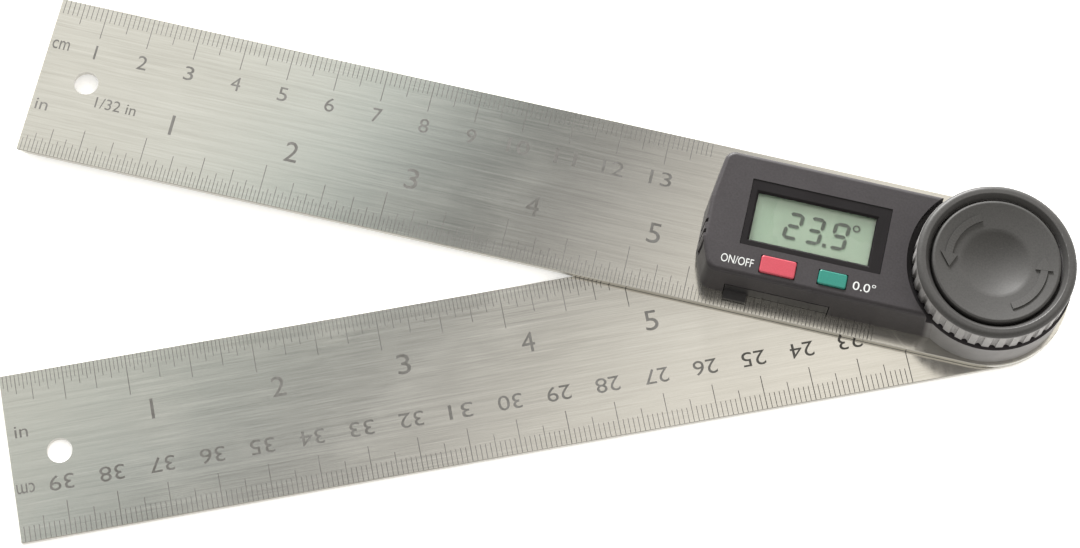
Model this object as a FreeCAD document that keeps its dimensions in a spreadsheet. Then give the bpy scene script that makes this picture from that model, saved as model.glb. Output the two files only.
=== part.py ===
import FreeCAD, Part
import math
import os
import Sketcher

# Digital angle-finder rule (electronic bevel protractor).
# Two flat steel rules turn about one pivot.  The upper rule carries the
# display housing, the lower rule carries the pivot stud and the encoder
# rotor, and a thumb knob on the stud's thread clamps the two together.
#
# Frame: the origin is on the pivot axis, in the plane of the lower rule's
# underside.  +X runs along the upper rule from its free end to the hub,
# +Y is the upright direction of the display, +Z is up.  Millimetres.

V = FreeCAD.Vector
doc = FreeCAD.newDocument("AngleFinderRule")
sheet = doc.addObject("Spreadsheet::Sheet", "Params")

CELLS = [
    # rules
    ("blade_reach", 199.0, "pivot axis to a rule's free end"),
    ("blade_width", 34.8, "width of both rules"),
    ("blade_thick", 1.2, "thickness of both rules"),
    ("blade_gap", 0.2, "space between the two rules"),
    ("blade_corner", 0.5, "corner radius at the free end"),
    ("blade_break", 0.15, "broken upper edges"),
    ("rest_deg", 23.9, "angle between the rules as stored"),
    ("hang_reach", 189.0, "pivot axis to the hanging hole"),
    ("hang_rad", 2.5, "hanging hole radius"),
    # pivot
    ("stud_flange_rad", 6.0, "stud head, flush in the lower rule"),
    ("stud_rad", 5.0, "journal radius"),
    ("stud_seat_rad", 4.0, "rotor seat radius"),
    ("thread_rad", 3.0, "M6 thread, major radius"),
    ("journal_top", 7.7, "top of the journal"),
    ("seat_top", 9.9, "top of the rotor seat"),
    ("stud_top", 12.8, "end of the thread"),
    ("ring_groove_low", 4.3, "retaining ring groove, lower face"),
    ("ring_groove_high", 4.9, "retaining ring groove, upper face"),
    ("ring_groove_rad", 4.3, "retaining ring groove, floor radius"),
    ("fit_gap", 0.05, "radial running clearance"),
    ("bush_rad", 7.0, "bush outer radius, in the upper rule"),
    ("bush_flange_rad", 8.2, "bush flange radius"),
    ("bush_flange", 1.0, "bush flange thickness"),
    ("washer_rad", 16.4, "friction washer outer radius"),
    # encoder
    ("board_low", 7.0, "circuit board underside"),
    ("board_thick", 0.8, "circuit board thickness"),
    ("stator_rad", 14.6, "round part of the board"),
    ("stator_bore", 6.4, "hole in the round part"),
    ("rotor_low", 8.1, "rotor underside"),
    ("rotor_thick", 0.6, "rotor thickness"),
    ("rotor_rad", 11.8, "rotor radius"),
    # housing
    ("house_top", 13.0, "housing top face"),
    ("house_back", 13.0, "housing, +Y side at its base"),
    ("house_front", 14.0, "housing, -Y side at its base"),
    ("house_end", 58.8, "housing, far end from the pivot"),
    ("draft_deg", 3.3, "draft of the housing walls"),
    ("edge_round", 0.9, "rounding of the housing's top edge"),
    ("wall", 1.5, "housing wall"),
    ("ceiling", 11.6, "inside height of the display bay"),
    ("hub_rad", 16.6, "round hub case"),
    ("hub_top", 10.0, "hub case top face"),
    ("hub_plate", 1.0, "hub case top plate"),
    ("recess_rad", 17.5, "knob recess in the housing"),
    ("bay_right", 19.0, "display bay, end near the pivot"),
    # window
    ("win_left", 50.6, "window opening, far end"),
    ("win_right", 21.9, "window opening, near end"),
    ("win_back", 7.4, "window opening, +Y side"),
    ("win_front", 6.9, "window opening, -Y side"),
    ("view_left", 48.9, "visible display, far end"),
    ("view_right", 24.7, "visible display, near end"),
    ("view_back", 4.8, "visible display, +Y side"),
    ("view_front", 5.4, "visible display, -Y side"),
    ("bezel_low", 11.65, "bezel underside"),
    ("bezel_top", 12.85, "bezel top face"),
    ("lens_thick", 0.6, "window lens thickness"),
    # buttons
    ("red_left", 45.8, "red button, far end"),
    ("red_right", 38.4, "red button, near end"),
    ("red_back", 8.2, "red button, +Y side"),
    ("red_front", 12.1, "red button, -Y side"),
    ("green_left", 34.0, "green button, far end"),
    ("green_right", 28.0, "green button, near end"),
    ("green_back", 8.5, "green button, +Y side"),
    ("green_front", 11.8, "green button, -Y side"),
    ("key_low", 9.2, "button underside"),
    ("key_top", 13.35, "button top face"),
    ("key_gap", 0.12, "side clearance of the buttons"),
    # battery
    ("tray_left", 51.5, "tray, far end"),
    ("tray_right", 30.3, "tray, near end"),
    ("tray_back", 9.2, "tray, inner end"),
    ("tray_front", 13.75, "tray, outer face"),
    ("tray_low", 2.75, "tray underside"),
    ("tray_high", 6.4, "tray rim"),
    ("tray_floor", 0.4, "tray floor"),
    ("tray_gap", 0.2, "clearance round the tray"),
    ("cell_rad", 10.0, "coin cell radius (20 mm type)"),
    ("cell_thick", 3.2, "coin cell thickness"),
    ("cell_x", 40.9, "coin cell centre, distance from the pivot"),
    ("cell_y", 1.6, "coin cell centre, towards -Y"),
    # screws
    ("screw_rad", 0.8, "cover screw thread"),
    ("screw_head", 1.7, "cover screw head radius"),
    ("boss_rad", 1.7, "screw boss radius"),
    # knob
    ("knob_rad", 16.1, "knob outer radius"),
    ("knob_low", 10.45, "knob skirt, lower edge"),
    ("knob_top", 17.0, "knob rim"),
    ("knob_round", 1.1, "rounding of the knob's rim"),
    ("rim_rad", 14.3, "inner edge of the rim"),
    ("dish_rad", 12.9, "cap radius"),
    ("dish_edge", 16.6, "height of the cap's edge"),
    ("dish_depth", 1.5, "depth of the dish in the cap"),
    ("dimple_rad", 6.0, "finger dimple radius"),
    ("dimple_depth", 1.2, "finger dimple depth"),
    ("rib_count", 36, "grip grooves round the knob"),
    ("rib_cut", 0.7, "radius of a grip groove"),
    ("insert_rad", 5.0, "threaded insert, outer radius"),
    ("insert_top", 13.0, "threaded insert, upper face"),
]
for row, (alias, value, note) in enumerate(CELLS, 1):
    sheet.set("A%d" % row, alias)
    sheet.set("B%d" % row, str(value))
    sheet.set("C%d" % row, note)
    sheet.setAlias("B%d" % row, alias)
doc.recompute()


class Q:
    """A size with its value and the sheet expression that drives it."""

    def __init__(self, value, text):
        self.v = float(value)
        self.e = text

    @staticmethod
    def of(other):
        if isinstance(other, Q):
            return other
        return Q(other, "%.6f" % other if other >= 0 else "(%.6f)" % other)

    def __add__(self, other):
        o = Q.of(other)
        return Q(self.v + o.v, "(%s + %s)" % (self.e, o.e))

    __radd__ = __add__

    def __sub__(self, other):
        o = Q.of(other)
        return Q(self.v - o.v, "(%s - %s)" % (self.e, o.e))

    def __rsub__(self, other):
        return Q.of(other) - self

    def __mul__(self, other):
        o = Q.of(other)
        return Q(self.v * o.v, "(%s * %s)" % (self.e, o.e))

    __rmul__ = __mul__

    def __truediv__(self, other):
        o = Q.of(other)
        return Q(self.v / o.v, "(%s / %s)" % (self.e, o.e))

    def __neg__(self):
        return Q(-self.v, "(-1 * %s)" % self.e)

    @property
    def driven(self):
        return "Params." in self.e


P = {alias: Q(value, "Params." + alias) for alias, value, note in CELLS}


def bind(obj, prop, size):
    if size.driven:
        obj.setExpression(prop, size.e)


# ---------------------------------------------------------------- sketches


def body(label):
    b = doc.addObject("PartDesign::Body", label)
    b.Label = label
    return b


def sketch(b, name, role="XY_Plane", level=0.0):
    s = b.newObject("Sketcher::SketchObject", name)
    plane = [f for f in b.Origin.OriginFeatures if f.Role == role][0]
    s.AttachmentSupport = [(plane, "")]
    s.MapMode = "FlatFace"
    level = Q.of(level)
    s.AttachmentOffset = FreeCAD.Placement(V(0, 0, level.v), FreeCAD.Rotation())
    bind(s, "AttachmentOffset.Base.z", level)
    return s


def fix_point(s, geo, pos, x, y):
    """Hold one point of a sketch at (x, y) from its origin."""
    for kind, axis, size in (("DistanceX", -2, x), ("DistanceY", -1, y)):
        if abs(size.v) < 1e-9:
            s.addConstraint(Sketcher.Constraint("PointOnObject", geo, pos, axis))
            continue
        n = s.addConstraint(Sketcher.Constraint(kind, -1, 1, geo, pos, size.v))
        bind(s, "Constraints[%d]" % n, size)


def poly(s, points):
    points = [(Q.of(x), Q.of(y)) for x, y in points]
    first = s.GeometryCount
    n = len(points)
    for i in range(n):
        a, c = points[i], points[(i + 1) % n]
        s.addGeometry(Part.LineSegment(V(a[0].v, a[1].v, 0), V(c[0].v, c[1].v, 0)), False)
    for i in range(n):
        s.addConstraint(
            Sketcher.Constraint("Coincident", first + i, 2, first + (i + 1) % n, 1)
        )
        fix_point(s, first + i, 1, *points[i])


def rect(s, x0, y0, x1, y1):
    poly(s, [(x0, y0), (x1, y0), (x1, y1), (x0, y1)])


def circle(s, x, y, r):
    x, y, r = Q.of(x), Q.of(y), Q.of(r)
    g = s.addGeometry(Part.Circle(V(x.v, y.v, 0), V(0, 0, 1), r.v), False)
    fix_point(s, g, 3, x, y)
    n = s.addConstraint(Sketcher.Constraint("Radius", g, r.v))
    bind(s, "Constraints[%d]" % n, r)


def pad(b, s, height, taper=None):
    height = Q.of(height)
    f = b.newObject("PartDesign::Pad", "Pad")
    f.Profile = s
    f.Length = height.v
    bind(f, "Length", height)
    if taper is not None:
        f.TaperAngle = taper.v
        bind(f, "TaperAngle", taper)
    doc.recompute()
    return f


def pocket(b, s, height):
    """Cut upwards from the sketch, and make sure something was cut."""
    height = Q.of(height)
    before = b.Shape.Volume
    f = b.newObject("PartDesign::Pocket", "Pocket")
    f.Profile = s
    f.Length = height.v
    bind(f, "Length", height)
    f.Reversed = True
    doc.recompute()
    if b.Shape.Volume > before - 1e-4:
        raise RuntimeError("%s: %s cut nothing" % (b.Label, s.Name))
    return f


def revolve(b, points, name="Section"):
    s = sketch(b, name, "XZ_Plane")
    poly(s, points)
    f = b.newObject("PartDesign::Revolution", "Revolution")
    f.Profile = s
    f.ReferenceAxis = (s, ["V_Axis"])
    f.Angle = 360.0
    doc.recompute()
    return f


def edges(feature, test):
    out = []
    for i, e in enumerate(feature.Shape.Edges, 1):
        if test(e):
            out.append("Edge%d" % i)
    return out


def dress(b, kind, base, names, size):
    f = b.newObject("PartDesign::" + kind, kind)
    f.Base = (base, names)
    prop = "Radius" if kind == "Fillet" else "Size"
    setattr(f, prop, size.v)
    bind(f, prop, size)
    doc.recompute()
    return f


def pin(b, kind, sizes, x, y, z, rot=None):
    """A primitive cut or added in a body, its lower centre at (x, y, z)."""
    f = b.newObject("PartDesign::" + kind, kind)
    for prop, size in sizes.items():
        size = Q.of(size)
        setattr(f, prop, size.v)
        bind(f, prop, size)
    x, y, z = Q.of(x), Q.of(y), Q.of(z)
    f.Placement = FreeCAD.Placement(V(x.v, y.v, z.v), rot or FreeCAD.Rotation())
    for axis, size in (("x", x), ("y", y), ("z", z)):
        bind(f, "Placement.Base." + axis, size)
    doc.recompute()
    return f


# -------------------------------------------------------------- primitives


def place(o, x, y, z):
    x, y, z = Q.of(x), Q.of(y), Q.of(z)
    o.Placement = FreeCAD.Placement(V(x.v, y.v, z.v), o.Placement.Rotation)
    for axis, size in (("x", x), ("y", y), ("z", z)):
        bind(o, "Placement.Base." + axis, size)


def prim(kind, label, x, y, z, **sizes):
    o = doc.addObject("Part::" + kind, label)
    o.Label = label
    for prop, size in sizes.items():
        size = Q.of(size)
        setattr(o, prop, size.v)
        bind(o, prop, size)
    place(o, x, y, z)
    return o


def block(label, x0, y0, z0, x1, y1, z1):
    x0, y0, z0, x1, y1, z1 = [Q.of(c) for c in (x0, y0, z0, x1, y1, z1)]
    return prim("Box", label, x0, y0, z0, Length=x1 - x0, Width=y1 - y0, Height=z1 - z0)


def cut(label, base, tool):
    o = doc.addObject("Part::Cut", label)
    o.Label = label
    o.Base, o.Tool = base, tool
    return o


def fuse(label, *parts):
    o = doc.addObject("Part::MultiFuse", label)
    o.Label = label
    o.Shapes = list(parts)
    return o


def group(label, *parts):
    o = doc.addObject("Part::Compound", label)
    o.Label = label
    o.Links = list(parts)
    return o


def ring(label, inner, outer, z0, z1):
    z0, z1 = Q.of(z0), Q.of(z1)
    a = prim("Cylinder", label + "_disc", 0.0, 0.0, z0, Radius=outer, Height=z1 - z0)
    c = prim("Cylinder", label + "_hole", 0.0, 0.0, z0 - 1.0, Radius=inner, Height=z1 - z0 + 2.0)
    return cut(label, a, c)


NODES = []


def node(o):
    NODES.append(o)
    return o


# Levels of the stack.
upper_low = P["blade_thick"] + P["blade_gap"]  # upper rule, underside
upper_top = upper_low + P["blade_thick"]  # upper rule, top face
half = P["blade_width"] / 2

# Four cover screws, and two board screws inside the hub.
SCREWS = [(-54.6, 8.8), (-54.4, -10.2), (-19.6, 9.0), (-19.6, -10.6)]
BOARD_SCREWS = [
    (13.4 * math.cos(math.radians(a)), 13.4 * math.sin(math.radians(a)))
    for a in (62.0, -62.0)
]

# ------------------------------------------------------------------- rules


def rule(label, low, hub_hole):
    """Straight rule: rectangle, half-round hub end, hub hole, hanging hole."""
    b = body(label)
    s = sketch(b, "Outline", level=low)
    rect(s, -P["blade_reach"], -half, 0.0, half)
    strip = pad(b, s, P["blade_thick"])
    corner = edges(
        strip,
        lambda e: abs(e.BoundBox.ZLength - P["blade_thick"].v) < 1e-6
        and e.BoundBox.XMax < -P["blade_reach"].v + 1,
    )
    dress(b, "Fillet", strip, corner, P["blade_corner"])
    s = sketch(b, "HubEnd", level=low)
    circle(s, 0.0, 0.0, half)
    whole = pad(b, s, P["blade_thick"])
    top = (low + P["blade_thick"]).v
    rim = edges(
        whole,
        lambda e: abs(e.BoundBox.ZMin - top) < 1e-6 and abs(e.BoundBox.ZMax - top) < 1e-6,
    )
    dress(b, "Chamfer", whole, rim, P["blade_break"])
    s = sketch(b, "Holes", level=low)
    circle(s, 0.0, 0.0, hub_hole)
    circle(s, -P["hang_reach"], 0.0, P["hang_rad"])
    pocket(b, s, P["blade_thick"] + 0.5)
    return b


base_blade = rule("base_blade", Q.of(0.0), P["stud_flange_rad"])
base_blade.Placement = FreeCAD.Placement(V(0, 0, 0), FreeCAD.Rotation(V(0, 0, 1), P["rest_deg"].v))
base_blade.setExpression("Placement.Rotation.Angle", "Params.rest_deg")
node(base_blade)

main_blade = rule("main_blade", upper_low, P["bush_rad"])
for x, y in SCREWS:
    before = main_blade.Shape.Volume
    pin(
        main_blade,
        "SubtractiveCone",
        {
            "Radius1": P["screw_head"] + P["fit_gap"],
            "Radius2": P["screw_rad"] + P["fit_gap"],
            "Height": P["blade_thick"],
        },
        x,
        y,
        upper_low,
    )
    if main_blade.Shape.Volume > before - 1e-4:
        raise RuntimeError("countersink cut nothing")
node(main_blade)

# ------------------------------------------------------------------- pivot

# Stud: head flush in the lower rule, journal with a ring groove, rotor seat,
# thread for the knob (a plain cylinder at the thread's major radius).
stud = body("pivot_stud")
revolve(
    stud,
    [
        (0.0, 0.0),
        (P["stud_flange_rad"], 0.0),
        (P["stud_flange_rad"], P["blade_thick"]),
        (P["stud_rad"], P["blade_thick"]),
        (P["stud_rad"], P["ring_groove_low"]),
        (P["ring_groove_rad"], P["ring_groove_low"]),
        (P["ring_groove_rad"], P["ring_groove_high"]),
        (P["stud_rad"], P["ring_groove_high"]),
        (P["stud_rad"], P["journal_top"]),
        (P["stud_seat_rad"], P["journal_top"]),
        (P["stud_seat_rad"], P["seat_top"]),
        (P["thread_rad"], P["seat_top"]),
        (P["thread_rad"], P["stud_top"] - 0.5),
        (P["thread_rad"] - 0.5, P["stud_top"]),
        (0.0, P["stud_top"]),
    ],
)
node(stud)

node(ring("friction_washer", P["stud_rad"] + 0.1, P["washer_rad"], P["blade_thick"], upper_low - 0.02))

bush = body("blade_bush")
revolve(
    bush,
    [
        (P["stud_rad"] + P["fit_gap"], upper_low),
        (P["bush_rad"], upper_low),
        (P["bush_rad"], upper_top),
        (P["bush_flange_rad"], upper_top),
        (P["bush_flange_rad"], upper_top + P["bush_flange"]),
        (P["stud_rad"] + P["fit_gap"], upper_top + P["bush_flange"]),
    ],
)
node(bush)

# Coned spring washer between the bush and the retaining ring.
spring = body("spring_washer")
bush_top = upper_top + P["bush_flange"]
revolve(
    spring,
    [
        (P["stud_rad"] + 0.15, bush_top + 0.35),
        (P["stud_rad"] + 2.5, bush_top + 0.05),
        (P["stud_rad"] + 2.5, bush_top + 0.30),
        (P["stud_rad"] + 0.15, bush_top + 0.60),
    ],
)
node(spring)

# Open retaining ring in the stud's groove.
clip = body("retaining_ring")
s = sketch(clip, "Ring", level=P["ring_groove_low"] + 0.02)
circle(s, 0.0, 0.0, P["stud_rad"] + 2.4)
circle(s, 0.0, 0.0, P["ring_groove_rad"] + 0.02)
pad(clip, s, P["ring_groove_high"] - P["ring_groove_low"] - 0.04)
s = sketch(clip, "Mouth", level=P["ring_groove_low"])
rect(s, -3.2, 0.0, 3.2, 9.0)
pocket(clip, s, 1.0)
clip.Placement = FreeCAD.Placement(V(0, 0, 0), FreeCAD.Rotation(V(0, 0, 1), -40.0))
node(clip)

# Encoder rotor on the stud, held down by a push-on washer.
node(ring("rotor_carrier", P["stud_seat_rad"], P["stud_seat_rad"] + 2.0, P["journal_top"], P["rotor_low"]))
rotor = body("rotor_disc")
s = sketch(rotor, "Disc", level=P["rotor_low"])
circle(s, 0.0, 0.0, P["rotor_rad"])
circle(s, 0.0, 0.0, P["stud_seat_rad"])
pad(rotor, s, P["rotor_thick"])
node(rotor)
node(
    ring(
        "rotor_clip",
        P["stud_seat_rad"],
        P["stud_seat_rad"] + 2.2,
        P["rotor_low"] + P["rotor_thick"],
        P["rotor_low"] + P["rotor_thick"] + 0.2,
    )
)

# ----------------------------------------------------------------- housing

cover = body("housing_cover")
OUTLINE = [
    (Q.of(-8.0), P["house_back"]),
    (-P["house_end"] + 1.5, P["house_back"]),
    (-P["house_end"] + 0.1, Q.of(2.0)),
    (-P["house_end"] + 0.15, Q.of(-7.0)),
    (-P["house_end"] + 2.6, -P["house_front"]),
    (Q.of(-8.0), -P["house_front"]),
]
s = sketch(cover, "Outline", level=upper_top)
poly(s, OUTLINE)
shell = pad(cover, s, P["house_top"] - upper_top, taper=-P["draft_deg"])


def upright(e, x, y, reach):
    box = e.BoundBox
    return (
        box.ZLength > 5
        and abs(box.Center.x - x) < reach
        and abs(box.Center.y - y) < reach
    )


# Far corners: a tight one at the back, a fuller one at the front.
names = edges(shell, lambda e: upright(e, -57.0, 12.7, 1.2))
shell = dress(cover, "Fillet", shell, names, Q.of(2.2))
names = edges(shell, lambda e: upright(e, -56.0, -13.7, 1.2))
shell = dress(cover, "Fillet", shell, names, Q.of(2.6))
names = edges(
    shell,
    lambda e: e.BoundBox.ZMin > P["house_top"].v - 1e-6 and e.BoundBox.XMin < -8.7,
)
shell = dress(cover, "Fillet", shell, names, P["edge_round"])

# Round hub case, and the recess that the knob sits in.
s = sketch(cover, "HubCase", level=upper_top)
circle(s, 0.0, 0.0, P["hub_rad"])
pad(cover, s, P["hub_top"] - upper_top)
s = sketch(cover, "KnobRecess", level=P["hub_top"])
circle(s, 0.0, 0.0, P["recess_rad"])
pocket(cover, s, P["house_top"] - P["hub_top"] + 2.0)

# Display bay, passage and hub cavity, all open towards the rule.
s = sketch(cover, "DisplayBay", level=upper_top)
w = P["wall"]
poly(
    s,
    [
        (-P["bay_right"], P["house_back"] - w),
        (-P["house_end"] + 1.5 + w, P["house_back"] - w),
        (-P["house_end"] + 0.3 + w, Q.of(2.0)),
        (-P["house_end"] + 0.35 + w, Q.of(-7.0)),
        (-P["house_end"] + 2.8 + w, -P["house_front"] + w),
        (-P["bay_right"], -P["house_front"] + w),
    ],
)
pocket(cover, s, P["ceiling"] - upper_top)
s = sketch(cover, "Passage", level=upper_top)
rect(s, -P["bay_right"] - 0.5, -P["house_front"] + w, -8.0, P["house_back"] - w)
pocket(cover, s, P["hub_top"] - P["hub_plate"] - upper_top)
s = sketch(cover, "HubCavity", level=upper_top)
circle(s, 0.0, 0.0, P["hub_rad"] - w)
pocket(cover, s, P["hub_top"] - P["hub_plate"] - upper_top)

# Screw bosses down to the rule, and two short posts for the board.
s = sketch(cover, "Bosses", level=upper_top)
for x, y in SCREWS:
    circle(s, x, y, P["boss_rad"])
pad(cover, s, P["ceiling"] - upper_top - 2.3)
s = sketch(cover, "BossTops", level=P["hub_top"] - P["hub_plate"] - 0.2)
for x, y in SCREWS[:2]:
    circle(s, x, y, P["boss_rad"])
pad(cover, s, P["ceiling"] - P["hub_top"] + P["hub_plate"] + 0.3)
s = sketch(cover, "BossTopsNear", level=P["hub_top"] - P["hub_plate"] - 0.2)
for x, y in SCREWS[2:]:
    circle(s, x, y, P["boss_rad"])
pad(cover, s, 1.0)
s = sketch(cover, "Posts", level=P["board_low"] + P["board_thick"] + 0.02)
for x, y in BOARD_SCREWS:
    circle(s, x, y, 1.3)
pad(cover, s, P["hub_top"] - P["hub_plate"] - P["board_low"] - P["board_thick"] + 0.1)
s = sketch(cover, "BossPilots", level=upper_top)
for x, y in SCREWS:
    circle(s, x, y, P["screw_rad"] + P["fit_gap"])
pocket(cover, s, 5.2)
s = sketch(cover, "PostPilots", level=P["board_low"] + P["board_thick"])
for x, y in BOARD_SCREWS:
    circle(s, x, y, 0.55)
pocket(cover, s, 1.3)
s = sketch(cover, "StudHole", level=P["hub_top"] - P["hub_plate"] - 0.5)
circle(s, 0.0, 0.0, P["stud_seat_rad"] + 0.4)
pocket(cover, s, 3.0)

# Window and button openings.
s = sketch(cover, "Window", level=P["ceiling"] - 0.5)
rect(s, -P["win_left"], -P["win_front"], -P["win_right"], P["win_back"])
pocket(cover, s, 3.0)
g = P["key_gap"]
s = sketch(cover, "RedOpening", level=P["ceiling"] - 0.5)
rect(s, -P["red_left"], -P["red_front"], -P["red_right"], -P["red_back"])
pocket(cover, s, 3.0)
s = sketch(cover, "GreenOpening", level=P["ceiling"] - 0.5)
rect(s, -P["green_left"], -P["green_front"], -P["green_right"], -P["green_back"])
pocket(cover, s, 3.0)

# Mouth for the battery tray in the front wall.
s = sketch(cover, "TrayMouth", level=upper_top)
rect(
    s,
    -P["tray_left"] - P["tray_gap"],
    -P["house_front"] - 1.0,
    -P["tray_right"] + P["tray_gap"],
    -P["house_front"] + w + 0.6,
)
pocket(cover, s, P["tray_high"] + 0.45 - upper_top)

# Three grip notches in the far end.
s = sketch(cover, "Notches", level=upper_top + 2.4)
for y in (-3.4, -5.7, -8.0):
    rect(s, -61.0, y - 0.45, -P["house_end"] + 1.15, y + 0.45)
pocket(cover, s, 12.0)
node(cover)

# Cover screws: countersunk from under the upper rule, flush with it.
screws = []
for i, (x, y) in enumerate(SCREWS, 1):
    head = prim(
        "Cone", "screw_head_%d" % i, x, y, upper_low + 0.02,
        Radius1=P["screw_head"], Radius2=P["screw_rad"], Height=P["blade_thick"],
    )
    shank = prim(
        "Cylinder", "screw_shank_%d" % i, x, y, upper_top,
        Radius=P["screw_rad"], Height=4.8,
    )
    whole = fuse("screw_blank_%d" % i, head, shank)
    slot_a = block("screw_slot_a_%d" % i, x - 1.0, y - 0.17, upper_low - 0.3, x + 1.0, y + 0.17, upper_low + 0.5)
    slot_b = block("screw_slot_b_%d" % i, x - 0.17, y - 1.0, upper_low - 0.3, x + 0.17, y + 1.0, upper_low + 0.5)
    screws.append(cut("screw_%d" % i, whole, fuse("screw_cross_%d" % i, slot_a, slot_b)))
node(group("cover_screws", *screws))

# ------------------------------------------------------------------ window

bezel = body("window_bezel")
s = sketch(bezel, "Frame", level=P["bezel_low"])
rect(s, -P["win_left"] + 0.08, -P["win_front"] + 0.08, -P["win_right"] - 0.08, P["win_back"] - 0.08)
pad(bezel, s, P["bezel_top"] - P["bezel_low"])
s = sketch(bezel, "View", level=P["bezel_low"] - 0.1)
rect(s, -P["view_left"], -P["view_front"], -P["view_right"], P["view_back"])
opening = pocket(bezel, s, 2.0)
top = P["bezel_top"].v
names = edges(
    opening,
    lambda e: e.BoundBox.ZMin > top - 1e-6
    and e.BoundBox.XMin > -P["view_left"].v - 0.01
    and e.BoundBox.XMax < -P["view_right"].v + 0.01,
)
dress(bezel, "Chamfer", opening, names, Q.of(0.45))
s = sketch(bezel, "LensSeat", level=P["bezel_low"] - 0.1)
rect(s, -P["view_left"] - 0.9, -P["view_front"] - 0.7, -P["view_right"] + 0.9, P["view_back"] + 0.9)
pocket(bezel, s, P["lens_thick"] + 0.15)
node(bezel)

node(
    block(
        "window_lens",
        -P["view_left"] - 0.8, -P["view_front"] - 0.6, P["bezel_low"],
        -P["view_right"] + 0.8, P["view_back"] + 0.8, P["bezel_low"] + P["lens_thick"],
    )
)

# Display: two bonded glasses, the front one longer towards +Y, where the
# contact strip meets it.
front_glass = block("lcd_front", -50.2, -7.0, 10.7, -22.6, 6.9, 11.3)
rear_glass = block("lcd_rear", -50.2, -7.0, 10.1, -22.6, 5.2, 10.7)
node(fuse("lcd_panel", front_glass, rear_glass))

carrier = body("lcd_carrier")
board_top = P["board_low"] + P["board_thick"]
s = sketch(carrier, "Frame", level=board_top + 0.02)
rect(s, -51.4, -7.9, -21.6, 7.9)
pad(carrier, s, P["ceiling"] - 0.1 - board_top - 0.02)
s = sketch(carrier, "Seat", level=10.08)
rect(s, -50.3, -7.1, -22.5, 7.0)
pocket(carrier, s, 3.0)
s = sketch(carrier, "Inside", level=7.0)
rect(s, -49.2, -6.0, -23.6, 4.6)
pocket(carrier, s, 4.0)
s = sketch(carrier, "StripSlot", level=7.0)
rect(s, -49.2, 5.4, -23.6, 6.8)
pocket(carrier, s, 4.0)
node(carrier)
node(block("contact_strip", -49.0, 5.5, board_top + 0.02, -23.8, 6.7, 10.68))

# --------------------------------------------------------------- circuitry

board = body("circuit_board")
s = sketch(board, "Outline", level=P["board_low"])
rect(s, -55.0, -11.9, -9.0, 11.25)
pad(board, s, P["board_thick"])
s = sketch(board, "Stator", level=P["board_low"])
circle(s, 0.0, 0.0, P["stator_rad"])
pad(board, s, P["board_thick"])
s = sketch(board, "Openings", level=P["board_low"] - 0.5)
circle(s, 0.0, 0.0, P["stator_bore"])
for x, y in SCREWS[2:]:
    circle(s, x, y, P["boss_rad"] + 0.2)
for x, y in BOARD_SCREWS:
    circle(s, x, y, 0.65)
pocket(board, s, 3.0)
s = sketch(board, "CornerNotches", level=P["board_low"] - 0.5)
rect(s, -60.0, SCREWS[0][1] - 2.0, -52.6, 14.0)
rect(s, -60.0, -14.0, -52.4, SCREWS[1][1] + 2.0)
pocket(board, s, 3.0)
node(board)

posts = []
for i, (x, y) in enumerate(BOARD_SCREWS, 1):
    head = prim("Cylinder", "board_screw_head_%d" % i, x, y, P["board_low"] - 0.72, Radius=1.1, Height=0.7)
    shank = prim("Cylinder", "board_screw_shank_%d" % i, x, y, P["board_low"] - 0.3, Radius=0.5, Height=2.1)
    whole = fuse("board_screw_blank_%d" % i, head, shank)
    slot = block("board_screw_slot_%d" % i, x - 0.8, y - 0.15, P["board_low"] - 1.0, x + 0.8, y + 0.15, P["board_low"] - 0.4)
    posts.append(cut("board_screw_%d" % i, whole, slot))
node(group("board_screws", *posts))

node(block("controller_chip", -40.5, -3.5, board_top, -33.5, 3.0, board_top + 1.0))
node(block("crystal_can", -30.5, -1.6, board_top, -28.5, 3.4, board_top + 1.1))
node(
    group(
        "chip_capacitors",
        *[
            block("capacitor_%d" % i, x, y, board_top, x + 1.6, y + 0.8, board_top + 0.7)
            for i, (x, y) in enumerate(
                [(-46.5, -2.5), (-46.5, -0.5), (-46.5, 1.5), (-27.0, -3.8), (-17.0, -3.0), (-17.0, 2.2)], 1
            )
        ]
    )
)

switches = []
for i, x in enumerate((-42.1, -31.0), 1):
    case = block("switch_case_%d" % i, x - 1.6, -11.8, board_top, x + 1.6, -8.6, board_top + 0.7)
    stem = prim("Cylinder", "switch_stem_%d" % i, x, -10.2, board_top + 0.5, Radius=0.8, Height=0.5)
    switches.append(fuse("switch_%d" % i, case, stem))
node(group("tact_switches", *switches))

# ----------------------------------------------------------------- buttons


def key(label, left, right, back, front):
    """Button: a domed key through the cover with a retaining flange below."""
    b = body(label)
    s = sketch(b, "Key", level=P["key_low"])
    rect(s, -left + g, -front + g, -right - g, -back - g)
    post = pad(b, s, P["key_top"] - P["key_low"])
    up = edges(post, lambda e: e.BoundBox.ZLength > 1)
    post = dress(b, "Fillet", post, up, Q.of(0.5))
    rim = edges(post, lambda e: e.BoundBox.ZMin > P["key_top"].v - 1e-6)
    dress(b, "Fillet", post, rim, Q.of(0.3))
    s = sketch(b, "Flange", level=P["key_low"])
    rect(s, -left - 0.8, -front + g, -right + 0.8, -back - g)
    pad(b, s, 1.6)
    return b


node(key("red_button", P["red_left"], P["red_right"], P["red_back"], P["red_front"]))
node(key("green_button", P["green_left"], P["green_right"], P["green_back"], P["green_front"]))

# ----------------------------------------------------------------- battery

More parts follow.
